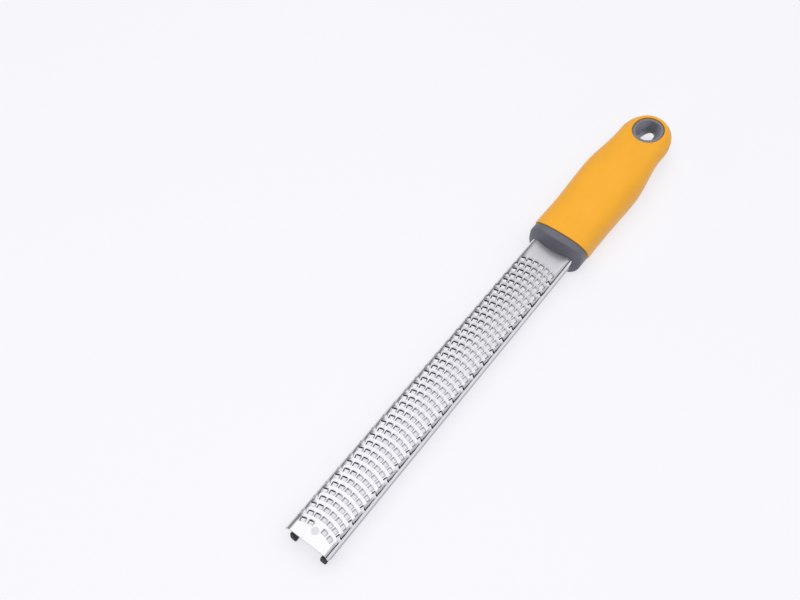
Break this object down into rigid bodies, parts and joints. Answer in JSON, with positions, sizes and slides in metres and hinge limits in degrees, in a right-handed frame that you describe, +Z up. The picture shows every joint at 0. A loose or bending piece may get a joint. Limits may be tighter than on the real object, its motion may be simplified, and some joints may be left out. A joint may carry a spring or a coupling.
{
  "type": "rasp grater",
  "caption": "Hand-held rasp grater: a long folded steel blade with bowed rows of etched teeth, rubber feet at the tip and a soft two-shot handle with a hanging eye.",
  "frame": {"origin": "on the table, under the middle of the grater's whole length, on its centreline", "axes": "+Y from the blade's tip to the handle's end, +Z up out of the grating face, +X across the blade"},
  "size_m": [0.0362, 0.3263, 0.0248],
  "materials": {
    "blade_steel": "bright rolled stainless sheet",
    "foot_rubber": "matt dark rubber",
    "core_plastic": "satin slate-grey moulding",
    "grip_rubber": "matt soft-touch overmoulding"
  },
  "bodies": {
    "root": {"blade": "blade_steel", "left_tip_foot": "foot_rubber", "right_tip_foot": "foot_rubber", "handle_core": "core_plastic", "grip": "grip_rubber"}
  },
  "joints": []
}
